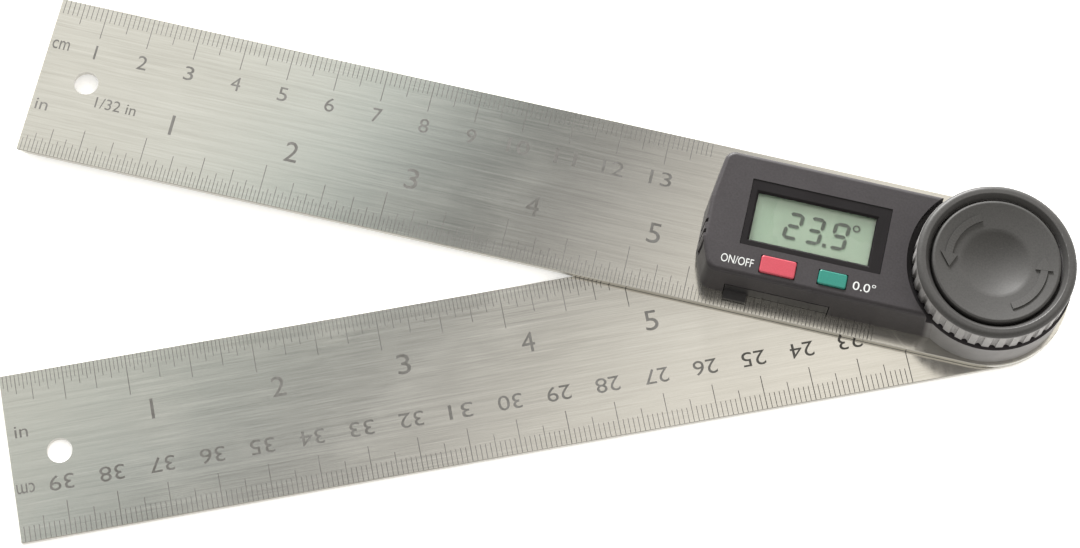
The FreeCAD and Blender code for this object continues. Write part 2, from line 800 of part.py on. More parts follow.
tray = body("battery_tray")
s = sketch(tray, "Tray", level=P["tray_low"])
rect(s, -P["tray_left"], -P["tray_front"], -P["tray_right"], P["tray_back"])
pad(tray, s, P["tray_high"] - P["tray_low"])
s = sketch(tray, "CellPocket", level=P["tray_low"] + P["tray_floor"])
circle(s, -P["cell_x"], -P["cell_y"], P["cell_rad"] + 0.15)
pocket(tray, s, 6.0)
s = sketch(tray, "ContactNotch", level=P["tray_low"] + P["tray_floor"])
rect(s, -P["cell_x"] - 2.1, 7.5, -P["cell_x"] + 2.1, P["tray_back"] + 1.0)
pocket(tray, s, 6.0)
s = sketch(tray, "PullTab", level=P["tray_low"])
rect(s, -P["tray_left"], -P["tray_front"] - 1.9, -P["tray_left"] + 4.7, -P["tray_front"] + 0.5)
pad(tray, s, 0.9)
node(tray)

cell = body("coin_cell")
zc = P["tray_low"] + P["tray_floor"] + 0.05
revolve(
    cell,
    [
        (0.0, zc),
        (P["cell_rad"] - 0.2, zc),
        (P["cell_rad"], zc + 0.2),
        (P["cell_rad"], zc + P["cell_thick"] - 0.4),
        (P["cell_rad"] - 0.3, zc + P["cell_thick"] - 0.2),
        (P["cell_rad"] - 1.1, zc + P["cell_thick"] - 0.2),
        (P["cell_rad"] - 1.3, zc + P["cell_thick"]),
        (0.0, zc + P["cell_thick"]),
    ],
)
cell.Placement = FreeCAD.Placement(V(-P["cell_x"].v, -P["cell_y"].v, 0), FreeCAD.Rotation())
cell.setExpression("Placement.Base.x", "-1 * Params.cell_x")
cell.setExpression("Placement.Base.y", "-1 * Params.cell_y")
node(cell)

# Spring contacts under the board: one over the cell, one against its edge.
leaf = block("contact_leaf", -P["cell_x"] - 4.0, -3.0, 6.5, -P["cell_x"] + 3.0, -0.5, 6.65)
foot = block("contact_foot", -P["cell_x"] + 1.5, -3.0, 6.5, -P["cell_x"] + 3.0, -0.5, P["board_low"])
node(fuse("battery_contact_negative", leaf, foot))
blade = block("contact_blade", -P["cell_x"] - 1.7, 8.5, 3.6, -P["cell_x"] + 1.7, 8.8, P["board_low"])
lip = block("contact_lip", -P["cell_x"] - 1.7, 8.5, P["board_low"] - 0.3, -P["cell_x"] + 1.7, 10.4, P["board_low"])
node(fuse("battery_contact_positive", blade, lip))

# -------------------------------------------------------------------- knob

node(ring("thrust_washer", P["thread_rad"] + 0.3, P["thread_rad"] + 4.0, P["hub_top"] + 0.03, P["hub_top"] + 0.35))

knob = body("lock_knob")
web_low = P["insert_top"] - 1.1
web_top = P["insert_top"] + 0.2
turned = revolve(
    knob,
    [
        (P["insert_rad"], P["knob_low"] - 0.05),
        (P["insert_rad"] + 2.2, P["knob_low"] - 0.05),
        (P["insert_rad"] + 2.2, web_low),
        (P["knob_rad"] - 1.5, web_low),
        (P["knob_rad"] - 1.5, P["knob_low"]),
        (P["knob_rad"], P["knob_low"]),
        (P["knob_rad"], P["knob_top"]),
        (P["rim_rad"], P["knob_top"]),
        (P["dish_rad"] + 0.5, P["dish_edge"] - 0.9),
        (P["dish_rad"] + 0.5, web_top),
        (P["insert_rad"], web_top),
    ],
)
rim = edges(
    turned,
    lambda e: e.BoundBox.ZMin > P["knob_top"].v - 1e-6
    and e.BoundBox.XMax > P["knob_rad"].v - 1e-6,
)
rounded = dress(knob, "Fillet", turned, rim, P["knob_round"])
rim = edges(
    rounded,
    lambda e: e.BoundBox.ZMin > P["knob_top"].v - 1e-6
    and abs(e.BoundBox.XMax - P["rim_rad"].v) < 1e-6,
)
dress(knob, "Fillet", rounded, rim, Q.of(0.25))
s = sketch(knob, "GripGroove", level=P["knob_low"] - 0.1)
circle(s, P["knob_rad"] + 0.18, 0.0, P["rib_cut"])
groove = pocket(knob, s, P["knob_top"] - P["knob_low"] - 1.0)
pattern = knob.newObject("PartDesign::PolarPattern", "GripPattern")
pattern.Originals = [groove]
pattern.Axis = (turned.Profile[0], ["V_Axis"])
pattern.Angle = 360.0
pattern.Occurrences = int(P["rib_count"].v)
bind(pattern, "Occurrences", P["rib_count"])
knob.Tip = pattern
doc.recompute()
node(knob)

node(ring("knob_insert", P["thread_rad"] + P["fit_gap"], P["insert_rad"], P["knob_low"] - 0.05, P["insert_top"]))

# Cap: a shallow spherical dish with a finger dimple in its middle.
cap = body("knob_cap")
revolve(
    cap,
    [
        (0.0, web_top + 0.05),
        (P["dish_rad"] + 0.4, web_top + 0.05),
        (P["dish_rad"] + 0.4, web_top + 0.55),
        (P["dish_rad"], web_top + 0.55),
        (P["dish_rad"], P["dish_edge"] - 0.45),
        (P["dish_rad"] - 0.13, P["dish_edge"] - 0.13),
        (P["dish_rad"] - 0.45, P["dish_edge"]),
        (0.0, P["dish_edge"]),
    ],
)
edge = P["dish_rad"] - 0.6
dish = (edge * edge + P["dish_depth"] * P["dish_depth"]) / (2.0 * P["dish_depth"])
before = cap.Shape.Volume
pin(cap, "SubtractiveSphere", {"Radius": dish}, 0.0, 0.0, P["dish_edge"] - P["dish_depth"] + dish)
dimple = (P["dimple_rad"] * P["dimple_rad"] + P["dimple_depth"] * P["dimple_depth"]) / (
    2.0 * P["dimple_depth"]
)
last = pin(
    cap,
    "SubtractiveSphere",
    {"Radius": dimple},
    0.0,
    0.0,
    P["dish_edge"] - P["dish_depth"] - P["dimple_depth"] + 0.05 + dimple,
)
lip_edges = edges(
    last,
    lambda e: abs(e.BoundBox.ZLength) < 1e-4
    and 2.0 < e.BoundBox.XMax < 8.5
    and e.BoundBox.ZMin > web_top.v + 0.3,
)
dress(cap, "Fillet", last, lip_edges, Q.of(2.5))
if cap.Shape.Volume > before - 1.0:
    raise RuntimeError("dish cut nothing")
node(cap)

# ------------------------------------------------------------------ output

doc.recompute()
bad = [
    "%s %s" % (o.Label, o.State)
    for o in doc.Objects
    if "Invalid" in o.State or "Error" in o.State
]
for o in NODES:
    if o.Shape.isNull() or not o.Shape.isValid() or not o.Shape.Solids:
        bad.append("%s has no valid solid" % o.Label)
if bad:
    raise RuntimeError("; ".join(bad))

os.makedirs("parts", exist_ok=True)
for o in NODES:
    o.Shape.exportStep("parts/%s.step" % o.Label)
    box = o.Shape.BoundBox
    print(
        "%-26s solids %d  vol %9.2f  z %.2f to %.2f"
        % (o.Label, len(o.Shape.Solids), o.Shape.Volume, box.ZMin, box.ZMax)
    )
print(len(NODES), "nodes")
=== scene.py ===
import math
import random

import bpy
import bmesh
from mathutils import Matrix, Vector


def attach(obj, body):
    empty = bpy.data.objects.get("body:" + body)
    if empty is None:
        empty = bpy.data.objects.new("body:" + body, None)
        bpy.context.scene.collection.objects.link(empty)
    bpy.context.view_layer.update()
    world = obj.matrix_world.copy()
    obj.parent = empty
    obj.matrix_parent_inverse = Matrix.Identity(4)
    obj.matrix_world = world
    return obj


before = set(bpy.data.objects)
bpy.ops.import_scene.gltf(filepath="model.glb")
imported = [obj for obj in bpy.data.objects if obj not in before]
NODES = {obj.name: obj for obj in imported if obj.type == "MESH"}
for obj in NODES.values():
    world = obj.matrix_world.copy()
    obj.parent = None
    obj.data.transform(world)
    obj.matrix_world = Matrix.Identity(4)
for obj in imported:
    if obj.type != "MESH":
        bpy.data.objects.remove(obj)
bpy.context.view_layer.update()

random.seed(7)

MM = 0.001
REST = math.radians(23.9)  # angle of the lower rule at rest
scene = bpy.context.scene

# ------------------------------------------------------------------ camera

cam_data = bpy.data.cameras.new("camera")
cam_data.sensor_width = 36.0
cam_data.lens = 94.72
cam_data.clip_start = 0.01
cam_data.clip_end = 20.0
cam = bpy.data.objects.new("camera", cam_data)
scene.collection.objects.link(cam)
right = Vector((0.97447159, 0.22277536, 0.02786159))
up = Vector((-0.21924218, 0.91752004, 0.3317979))
back = Vector((0.04835282, -0.32943606, 0.94293896))
cam.matrix_world = Matrix((
    (right.x, up.x, back.x, -0.06063394),
    (right.y, up.y, back.y, -0.20863613),
    (right.z, up.z, back.z, 0.54561638),
    (0, 0, 0, 1),
))
scene.camera = cam

scene.view_settings.view_transform = "Standard"
scene.view_settings.look = "None"
scene.view_settings.exposure = 0.0
scene.view_settings.gamma = 1.0


# ------------------------------------------------------------ node helpers


class Tree:
    """Short forms for building one node tree."""

    def __init__(self, nt):
        self.nt = nt

    def n(self, kind, **props):
        node = self.nt.nodes.new(kind)
        for k, v in props.items():
            setattr(node, k, v)
        return node

    def put(self, socket, value):
        if isinstance(value, bpy.types.NodeSocket):
            self.nt.links.new(value, socket)
        else:
            socket.default_value = value

    def math(self, op, a, b=0.0, c=0.0, clamp=False):
        m = self.n("ShaderNodeMath", operation=op, use_clamp=clamp)
        self.put(m.inputs[0], a)
        self.put(m.inputs[1], b)
        self.put(m.inputs[2], c)
        return m.outputs[0]

    def coords(self):
        return self.n("ShaderNodeTexCoord").outputs["Object"]

    def mapping(self, vec, scale=(1, 1, 1), rot=(0, 0, 0), loc=(0, 0, 0)):
        m = self.n("ShaderNodeMapping")
        self.put(m.inputs["Vector"], vec)
        m.inputs["Scale"].default_value = scale
        m.inputs["Rotation"].default_value = rot
        m.inputs["Location"].default_value = loc
        return m.outputs[0]

    def noise(self, vec, scale=1.0, detail=2.0, rough=0.5, distort=0.0):
        t = self.n("ShaderNodeTexNoise")
        self.put(t.inputs["Vector"], vec)
        t.inputs["Scale"].default_value = scale
        t.inputs["Detail"].default_value = detail
        t.inputs["Roughness"].default_value = rough
        t.inputs["Distortion"].default_value = distort
        return t.outputs[0]

    def voronoi(self, vec, scale=1.0, feature="F1"):
        t = self.n("ShaderNodeTexVoronoi", feature=feature)
        self.put(t.inputs["Vector"], vec)
        t.inputs["Scale"].default_value = scale
        return t.outputs["Distance"]

    def ramp(self, fac, stops, interp="LINEAR"):
        r = self.n("ShaderNodeValToRGB")
        r.color_ramp.interpolation = interp
        els = r.color_ramp.elements
        while len(els) < len(stops):
            els.new(0.5)
        for e, (p, c) in zip(els, sorted(stops, key=lambda x: x[0])):
            e.position = p
            e.color = (*c, 1.0) if isinstance(c, (tuple, list)) else (c, c, c, 1.0)
        self.put(r.inputs[0], fac)
        return r.outputs[0]

    def mix(self, fac, a, b, blend="MIX"):
        m = self.n("ShaderNodeMix", data_type="RGBA", blend_type=blend)
        self.put(m.inputs[0], fac)
        self.put(m.inputs[6], (*a, 1.0) if isinstance(a, tuple) and len(a) == 3 else a)
        self.put(m.inputs[7], (*b, 1.0) if isinstance(b, tuple) and len(b) == 3 else b)
        return m.outputs[2]

    def remap(self, v, a, b, c, d, clamp=True):
        m = self.n("ShaderNodeMapRange", clamp=clamp)
        self.put(m.inputs[0], v)
        for i, x in zip((1, 2, 3, 4), (a, b, c, d)):
            m.inputs[i].default_value = x
        return m.outputs[0]

    def bump(self, height, strength, distance, normal=None):
        b = self.n("ShaderNodeBump")
        b.inputs["Strength"].default_value = strength
        b.inputs["Distance"].default_value = distance
        self.put(b.inputs["Height"], height)
        if normal is not None:
            self.put(b.inputs["Normal"], normal)
        return b.outputs[0]

    def edges(self, radius):
        """1 on convex and concave edges, 0 on flats."""
        bev = self.n("ShaderNodeBevel", samples=4)
        bev.inputs["Radius"].default_value = radius
        geo = self.n("ShaderNodeNewGeometry")
        dot = self.n("ShaderNodeVectorMath", operation="DOT_PRODUCT")
        self.put(dot.inputs[0], bev.outputs[0])
        self.put(dot.inputs[1], geo.outputs["Normal"])
        return self.remap(dot.outputs["Value"], 0.995, 0.86, 0.0, 1.0)


def material(name, build, **constants):
    """A Principled material. build(tree, shader) links what varies; constants go on the shader's own sockets."""
    m = bpy.data.materials.new(name)
    m.use_nodes = True
    nt = m.node_tree
    nt.nodes.clear()
    t = Tree(nt)
    out = t.n("ShaderNodeOutputMaterial")
    sh = t.n("ShaderNodeBsdfPrincipled")
    nt.links.new(sh.outputs[0], out.inputs[0])
    for k, v in constants.items():
        sh.inputs[k.replace("_", " ")].default_value = v
    build(t, sh)
    return m


# --------------------------------------------------------------- materials


def steel(name, angle, seed):
    """Stainless rule: lengthwise brushing, faint cloudiness, handling marks, rubbed arcs round the pivot."""

    def build(t, sh):
        local = t.mapping(t.coords(), rot=(0, 0, -angle))
        fine = t.noise(t.mapping(local, (90, 5200, 900), loc=(seed, 0, 0)), 1.0, 4.0, 0.62)
        mid = t.noise(t.mapping(local, (22, 1500, 300), loc=(0, seed, 0)), 1.0, 3.0, 0.55)
        wide = t.noise(t.mapping(local, (9, 26, 9), loc=(seed, seed, 0)), 1.0, 3.0, 0.5)
        streak = t.math("ADD", t.math("MULTIPLY", fine, 0.6), t.math("MULTIPLY", mid, 0.4))
        tone = t.ramp(
            streak,
            [(0.25, (0.465, 0.455, 0.425)), (0.5, (0.545, 0.536, 0.505)), (0.75, (0.615, 0.606, 0.575))],
        )
        cloud = t.ramp(wide, [(0.3, (0.93, 0.925, 0.91)), (0.7, (1.03, 1.03, 1.03))])
        tone = t.mix(1.0, tone, cloud, "MULTIPLY")
        # a few hairline scratches, each family at its own angle
        scratch = None
        for a, s in ((0.35, 1.3), (-0.9, 2.1), (1.4, 3.7)):
            v = t.mapping(local, (35, 2600, 35), rot=(0, 0, a), loc=(s * 9, s, 0))
            line = t.remap(t.noise(v, 1.0, 2.0, 0.4), 0.745, 0.79, 0.0, 1.0)
            where = t.remap(t.noise(t.mapping(local, (30, 30, 30), loc=(s, s, s)), 1.0, 1.0), 0.52, 0.66, 0.0, 1.0)
            line = t.math("MULTIPLY", line, where)
            scratch = line if scratch is None else t.math("MAXIMUM", scratch, line)
        tone = t.mix(t.math("MULTIPLY", scratch, 0.35), tone, (0.80, 0.80, 0.78))
        # rubbed arcs where the other rule sweeps
        flat = t.n("ShaderNodeVectorMath", operation="MULTIPLY")
        t.put(flat.inputs[0], local)
        flat.inputs[1].default_value = (1, 1, 0)
        length = t.n("ShaderNodeVectorMath", operation="LENGTH")
        t.put(length.inputs[0], flat.outputs[0])
        rad = length.outputs["Value"]
        comb = t.n("ShaderNodeCombineXYZ")
        t.put(comb.inputs[0], t.math("MULTIPLY", rad, 1900.0))
        comb.inputs[1].default_value = seed
        arcs = t.remap(t.noise(comb.outputs[0], 1.0, 2.0), 0.62, 0.74, 0.0, 1.0)
        near = t.remap(rad, 0.02, 0.075, 1.0, 0.0)
        arcs = t.math("MULTIPLY", arcs, near)
        # Painted highlight: the steel is made lighter along every edge, standing in for the glint of the broken edges.
        edge = t.edges(0.00022)
        tone = t.mix(t.math("MULTIPLY", edge, 0.35), tone, (0.72, 0.72, 0.70))
        t.put(sh.inputs["Base Color"], tone)
        # skin marks: patches that are a little duller
        touch = t.noise(t.mapping(local, (55, 70, 55), loc=(seed * 3, 0, 0)), 1.0, 4.0, 0.6, 0.4)
        dull = t.remap(touch, 0.48, 0.72, 0.0, 0.015)
        rough = t.math("ADD", t.remap(streak, 0.3, 0.7, 0.09, 0.115), dull)
        rough = t.math("ADD", rough, t.math("MULTIPLY", arcs, 0.05))
        t.put(sh.inputs["Roughness"], rough)
        height = t.math("ADD", streak, t.math("MULTIPLY", scratch, -0.8))
        height = t.math("ADD", height, t.math("MULTIPLY", arcs, -0.25))
        t.put(sh.inputs["Normal"], t.bump(height, 0.11, 0.00004))
        tangent = t.n("ShaderNodeVectorTransform", vector_type="VECTOR", convert_from="OBJECT", convert_to="WORLD")
        tangent.inputs[0].default_value = (-math.sin(angle), math.cos(angle), 0.0)
        t.put(sh.inputs["Tangent"], tangent.outputs[0])

    return material(name, build, Metallic=1.0, Anisotropic=1.0)


def turned(name, colour, rough, scale=1.0, stained=0.35):
    """Lathe-turned or stamped metal: rings round the pivot axis, light staining."""

    def build(t, sh):
        c = t.coords()
        flat = t.n("ShaderNodeVectorMath", operation="MULTIPLY")
        t.put(flat.inputs[0], c)
        flat.inputs[1].default_value = (1, 1, 0)
        length = t.n("ShaderNodeVectorMath", operation="LENGTH")
        t.put(length.inputs[0], flat.outputs[0])
        comb = t.n("ShaderNodeCombineXYZ")
        t.put(comb.inputs[0], t.math("MULTIPLY", length.outputs["Value"], 6500.0 * scale))
        sep = t.n("ShaderNodeSeparateXYZ")
        t.put(sep.inputs[0], c)
        t.put(comb.inputs[1], t.math("MULTIPLY", sep.outputs[2], 6500.0 * scale))
        rings = t.noise(comb.outputs[0], 1.0, 2.0, 0.5)
        stain = t.noise(c, 420.0, 4.0, 0.6)
        lo = tuple(x * 0.82 for x in colour)
        hi = tuple(min(1, x * 1.12) for x in colour)
        tone = t.ramp(rings, [(0.3, lo), (0.7, hi)])
        tone = t.mix(t.remap(stain, 0.45, 0.75, 0.0, stained), tone, tuple(x * 0.6 for x in colour))
        t.put(sh.inputs["Base Color"], tone)
        t.put(sh.inputs["Roughness"], t.remap(stain, 0.2, 0.8, rough - 0.06, rough + 0.10))
        t.put(sh.inputs["Normal"], t.bump(rings, 0.25, 0.00003))

    return material(name, build, Metallic=1.0)


def moulded(name, colour, rough, grain=2600.0, grain_depth=0.25, wear=0.4, speck=0.5, spread=0.10, coat=0.0, specular=0.5, wall_sheen_colour=None, sheen_radius=None):
    """Moulded plastic: spark-eroded grain, slight tonal drift, rubbed edges, dust in the grain, and optionally a
    painted sheen on side walls seen edge-on.
    """

    def build(t, sh):
        c = t.coords()
        g1 = t.noise(c, grain, 3.0, 0.55)
        g2 = t.voronoi(c, grain * 0.62)
        drift = t.noise(c, 45.0, 4.0, 0.55)
        hand = t.noise(t.mapping(c, (1, 1, 1), loc=(3.1, 1.7, 0.4)), 130.0, 5.0, 0.62, 0.3)
        lo = tuple(x * (1.0 - spread) for x in colour)
        hi = tuple(min(1.0, x * (1.0 + spread)) for x in colour)
        tone = t.ramp(drift, [(0.3, lo), (0.7, hi)])
        pits = t.remap(g1, 0.32, 0.62, 0.86, 1.06)
        pit = t.n("ShaderNodeCombineColor")
        for i in range(3):
            t.put(pit.inputs[i], pits)
        tone = t.mix(1.0, tone, pit.outputs[0], "MULTIPLY")
        dust = t.remap(t.noise(t.mapping(c, loc=(0.7, 0.2, 0.9)), 1500.0, 2.0, 0.6), 0.70, 0.80, 0.0, speck)
        tone = t.mix(t.math("MULTIPLY", dust, 0.30), tone, tuple(min(1, x * 2.2 + 0.06) for x in colour))
        edge = t.edges(0.0003)
        worn = t.math("MULTIPLY", edge, t.remap(hand, 0.38, 0.66, 0.25, 1.0))
        tone = t.mix(t.math("MULTIPLY", worn, wear), tone, tuple(min(1, x * 1.9 + 0.02) for x in colour))
        # Painted sheen: steep side walls seen at a grazing angle get a lighter base colour. This stands in for the
        # reflection of the bright floor and key light, and an optional radius keeps it round the pivot hub.
        if wall_sheen_colour:
            side = t.n("ShaderNodeSeparateXYZ")
            t.put(side.inputs[0], t.n("ShaderNodeNewGeometry").outputs["Normal"])
            sheen_mask = t.remap(t.math("ABSOLUTE", side.outputs[2]), 0.45, 0.15, 0.0, 1.0)
            sheen_mask = t.math("MULTIPLY", sheen_mask, t.remap(hand, 0.3, 0.7, 0.75, 1.0))
            sheen_facing = t.n("ShaderNodeLayerWeight")
            sheen_facing.inputs["Blend"].default_value = 0.5
            sheen_mask = t.math("MULTIPLY", sheen_mask, t.remap(sheen_facing.outputs["Facing"], 0.36, 0.66, 0.0, 1.0))
            if sheen_radius:
                ring = t.n("ShaderNodeVectorMath", operation="MULTIPLY")
                t.put(ring.inputs[0], c)
                ring.inputs[1].default_value = (1, 1, 0)
                radius = t.n("ShaderNodeVectorMath", operation="LENGTH")
                t.put(radius.inputs[0], ring.outputs[0])
                sheen_mask = t.math("MULTIPLY", sheen_mask, t.remap(radius.outputs["Value"], sheen_radius, sheen_radius + 0.0006, 1.0, 0.0))
            tone = t.mix(sheen_mask, tone, wall_sheen_colour)
        t.put(sh.inputs["Base Color"], tone)
        r = t.remap(hand, 0.3, 0.7, rough + 0.05, rough - 0.05)
        r = t.math("SUBTRACT", r, t.math("MULTIPLY", worn, 0.12))
        t.put(sh.inputs["Roughness"], r)
        h = t.math("ADD", t.math("MULTIPLY", g1, 0.7), t.math("MULTIPLY", g2, 0.3))
        t.put(sh.inputs["Normal"], t.bump(h, grain_depth, 0.00006))

    return material(name, build, Coat_Weight=coat, Coat_Roughness=0.12, Specular_IOR_Level=specular)


def board(name, colour, copper):
    """Solder mask over copper tracks and pours."""

    def build(t, sh):
        c = t.coords()
        cells = t.n("ShaderNodeTexVoronoi", feature="DISTANCE_TO_EDGE")
        t.put(cells.inputs["Vector"], t.mapping(c, (1, 1, 0)))
        cells.inputs["Scale"].default_value = 420.0
        line = t.remap(cells.outputs["Distance"], 0.05, 0.09, 1.0, 0.0)
        mottle = t.noise(c, 900.0, 3.0, 0.5)
        tone = t.ramp(mottle, [(0.3, tuple(x * 0.85 for x in colour)), (0.7, tuple(x * 1.15 for x in colour))])
        tone = t.mix(t.math("MULTIPLY", line, 0.6), tone, copper)
        t.put(sh.inputs["Base Color"], tone)
        t.put(sh.inputs["Roughness"], t.remap(mottle, 0.3, 0.7, 0.28, 0.40))
        t.put(sh.inputs["Normal"], t.bump(line, 0.35, 0.00004))

    return material(name, build)


def lens_build(t, sh):
    c = t.coords()
    haze = t.noise(c, 260.0, 4.0, 0.6)
    hair = t.remap(t.noise(t.mapping(c, (60, 2400, 60), rot=(0, 0, 0.6)), 1.0, 2.0, 0.4), 0.76, 0.80, 0.0, 1.0)
    t.put(sh.inputs["Base Color"], t.ramp(haze, [(0.3, (0.955, 0.975, 0.960)), (0.7, (0.985, 0.995, 0.985))]))
    t.put(sh.inputs["Roughness"], t.math("ADD", t.remap(haze, 0.4, 0.75, 0.015, 0.05), t.math("MULTIPLY", hair, 0.08)))
    t.put(sh.inputs["Normal"], t.bump(hair, 0.05, 0.00001))


def lcd_build(t, sh):
    c = t.coords()
    fine = t.noise(c, 5200.0, 2.0, 0.5)
    drift = t.noise(c, 70.0, 3.0, 0.5)
    tone = t.ramp(drift, [(0.3, (0.270, 0.385, 0.285)), (0.7, (0.325, 0.425, 0.325))])
    grain = t.ramp(fine, [(0.3, (0.93, 0.93, 0.93)), (0.7, (1.04, 1.04, 1.04))])
    t.put(sh.inputs["Base Color"], t.mix(1.0, tone, grain, "MULTIPLY"))
    t.put(sh.inputs["Roughness"], t.remap(drift, 0.3, 0.7, 0.22, 0.32))
    t.put(sh.inputs["Normal"], t.bump(fine, 0.08, 0.00002))


def ink(name, colour, rough, fade=0.25, metal=0.0):
    """Etched or printed marks: slightly uneven density."""

    def build(t, sh):
        c = t.coords()
        a = t.noise(c, 900.0, 3.0, 0.6)
        b = t.noise(c, 60.0, 3.0, 0.5)
        dens = t.math("ADD", t.remap(a, 0.35, 0.7, 0.0, fade * 0.6), t.remap(b, 0.4, 0.7, 0.0, fade * 0.5))
        pale = tuple(min(1.0, x + 0.30) for x in colour)
        t.put(sh.inputs["Base Color"], t.mix(dens, colour, pale))
        t.put(sh.inputs["Roughness"], t.remap(a, 0.3, 0.7, rough - 0.05, rough + 0.08))
        t.put(sh.inputs["Normal"], t.bump(a, 0.12, 0.00002))

    return material(name, build, Metallic=metal)


MAIN_STEEL = steel("brushed_steel_upper", 0.0, 2.3)
BASE_STEEL = steel("brushed_steel_lower", REST, 5.9)
# Housing and knob carry a painted wall sheen: a lighter colour on their side walls where they are seen edge-on.
HOUSING = moulded("housing_plastic_grained", (0.029, 0.0262, 0.0288), 0.48, 2400.0, 0.30, 0.30, 0.5, specular=0.22, wall_sheen_colour=(0.20, 0.196, 0.196), sheen_radius=0.0170)
KNOB = moulded("knob_plastic_satin_painted_wall_sheen", (0.046, 0.045, 0.0445), 0.44, 3400.0, 0.22, 0.45, 0.5, specular=0.25, wall_sheen_colour=(0.30, 0.294, 0.294))
CAP = moulded("cap_plastic_satin", (0.043, 0.0422, 0.0415), 0.56, 3000.0, 0.24, 0.30, 0.4, specular=0.22)
BEZEL = moulded("bezel_plastic_black", (0.006, 0.005, 0.006), 0.34, 4200.0, 0.08, 0.12, 0.1, specular=0.18)
RED = moulded("key_plastic_red", (0.33, 0.036, 0.056), 0.34, 4200.0, 0.12, 0.30, 0.2, 0.06)
GREEN = moulded("key_plastic_green", (0.005, 0.135, 0.105), 0.34, 4200.0, 0.12, 0.30, 0.2, 0.08)
TRAY = moulded("tray_plastic_black", (0.018, 0.017, 0.018), 0.45, 2600.0, 0.28, 0.30, 0.5)
CARRIER = moulded("carrier_plastic_natural", (0.72, 0.71, 0.66), 0.50, 2600.0, 0.15, 0.1, 0.2)
WASHER = moulded("washer_polymer", (0.78, 0.77, 0.72), 0.40, 3000.0, 0.10, 0.1, 0.2)
STRIP = moulded("strip_rubber_layered", (0.50, 0.10, 0.07), 0.65, 3800.0, 0.3, 0.1, 0.2)
CHIP = moulded("chip_epoxy", (0.020, 0.020, 0.021), 0.55, 5200.0, 0.25, 0.1, 0.2)
CERAMIC = moulded("capacitor_ceramic", (0.42, 0.29, 0.17), 0.45, 5200.0, 0.2, 0.2, 0.2)
STUD = turned("turned_steel", (0.56, 0.555, 0.54), 0.30)
SPRING = turned("spring_steel_dark", (0.26, 0.25, 0.24), 0.38)
BRONZE = turned("bush_bronze", (0.60, 0.40, 0.20), 0.36)
BRASS = turned("insert_brass", (0.76, 0.56, 0.25), 0.32)
PLATED = turned("plated_steel", (0.62, 0.61, 0.59), 0.28)
CELL = turned("cell_steel", (0.64, 0.635, 0.62), 0.34, 0.5, 0.08)
GOLD = turned("contact_gold", (0.80, 0.60, 0.27), 0.26)
PCB = board("board_solder_mask", (0.02, 0.15, 0.06), (0.05, 0.24, 0.10))
ROTOR = board("rotor_solder_mask", (0.02, 0.12, 0.07), (0.55, 0.36, 0.18))
LENS = material("lens_clear", lens_build, Transmission_Weight=1.0, IOR=1.38)
LCD = material("lcd_reflective_green", lcd_build, Coat_Weight=0.5, Coat_Roughness=0.08)
ETCH = ink("etched_marks", (0.042, 0.040, 0.035), 0.58, 0.20)
WHITE_INK = ink("printed_white", (0.42, 0.435, 0.435), 0.50, 0.15)
SEGMENT = ink("lcd_segments", (0.030, 0.050, 0.035), 0.35, 0.10)
# Colour of the painted shadow of the LCD segments on the reflector.
PAINTED_SEGMENT_SHADOW = ink("lcd_segment_shadow", (0.20, 0.29, 0.205), 0.35, 0.10)

for name, mat in {
    "base_blade": BASE_STEEL, "main_blade": MAIN_STEEL, "pivot_stud": STUD, "friction_washer": WASHER,
    "blade_bush": BRONZE, "spring_washer": SPRING, "retaining_ring": SPRING, "rotor_carrier": BRASS,
    "rotor_disc": ROTOR, "rotor_clip": SPRING, "housing_cover": HOUSING, "cover_screws": PLATED,
    "window_bezel": BEZEL, "window_lens": LENS, "lcd_panel": LCD, "lcd_carrier": CARRIER,
    "contact_strip": STRIP, "circuit_board": PCB, "board_screws": PLATED, "controller_chip": CHIP,
    "crystal_can": PLATED, "chip_capacitors": CERAMIC, "tact_switches": PLATED, "red_button": RED,
    "green_button": GREEN, "battery_tray": TRAY, "coin_cell": CELL, "battery_contact_negative": GOLD,
    "battery_contact_positive": GOLD, "thrust_washer": STUD, "lock_knob": KNOB, "knob_insert": BRASS,
    "knob_cap": CAP,
}.items():
    o = NODES[name]
    for s in o.material_slots:
        s.material = mat
    if not o.material_slots:
        o.data.materials.append(mat)

# ------------------------------------------------------- marks as geometry


def slabs(name, shapes, z0, z1, mat, body, turn=0.0):
    """Thin raised marks. shapes is a list of closed outlines in mm (anticlockwise), z0 and z1 in mm."""
    bm = bmesh.new()
    c, s = math.cos(turn), math.sin(turn)
    for outline in shapes:
        pts = [(c * x - s * y, s * x + c * y) for x, y in outline]
        low = [bm.verts.new((x * MM, y * MM, z0 * MM)) for x, y in pts]
        high = [bm.verts.new((x * MM, y * MM, z1 * MM)) for x, y in pts]
        bm.faces.new(high)
        bm.faces.new(low[::-1])
        for i in range(len(pts)):
            j = (i + 1) % len(pts)
            bm.faces.new((low[i], low[j], high[j], high[i]))
    bmesh.ops.recalc_face_normals(bm, faces=bm.faces)
    me = bpy.data.meshes.new(name)
    bm.to_mesh(me)
    bm.free()
    me.materials.append(mat)
    o = bpy.data.objects.new(name, me)
    scene.collection.objects.link(o)
    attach(o, body)
    return o


def bar(x0, y0, x1, y1):
    return [(x0, y0), (x1, y0), (x1, y1), (x0, y1)]


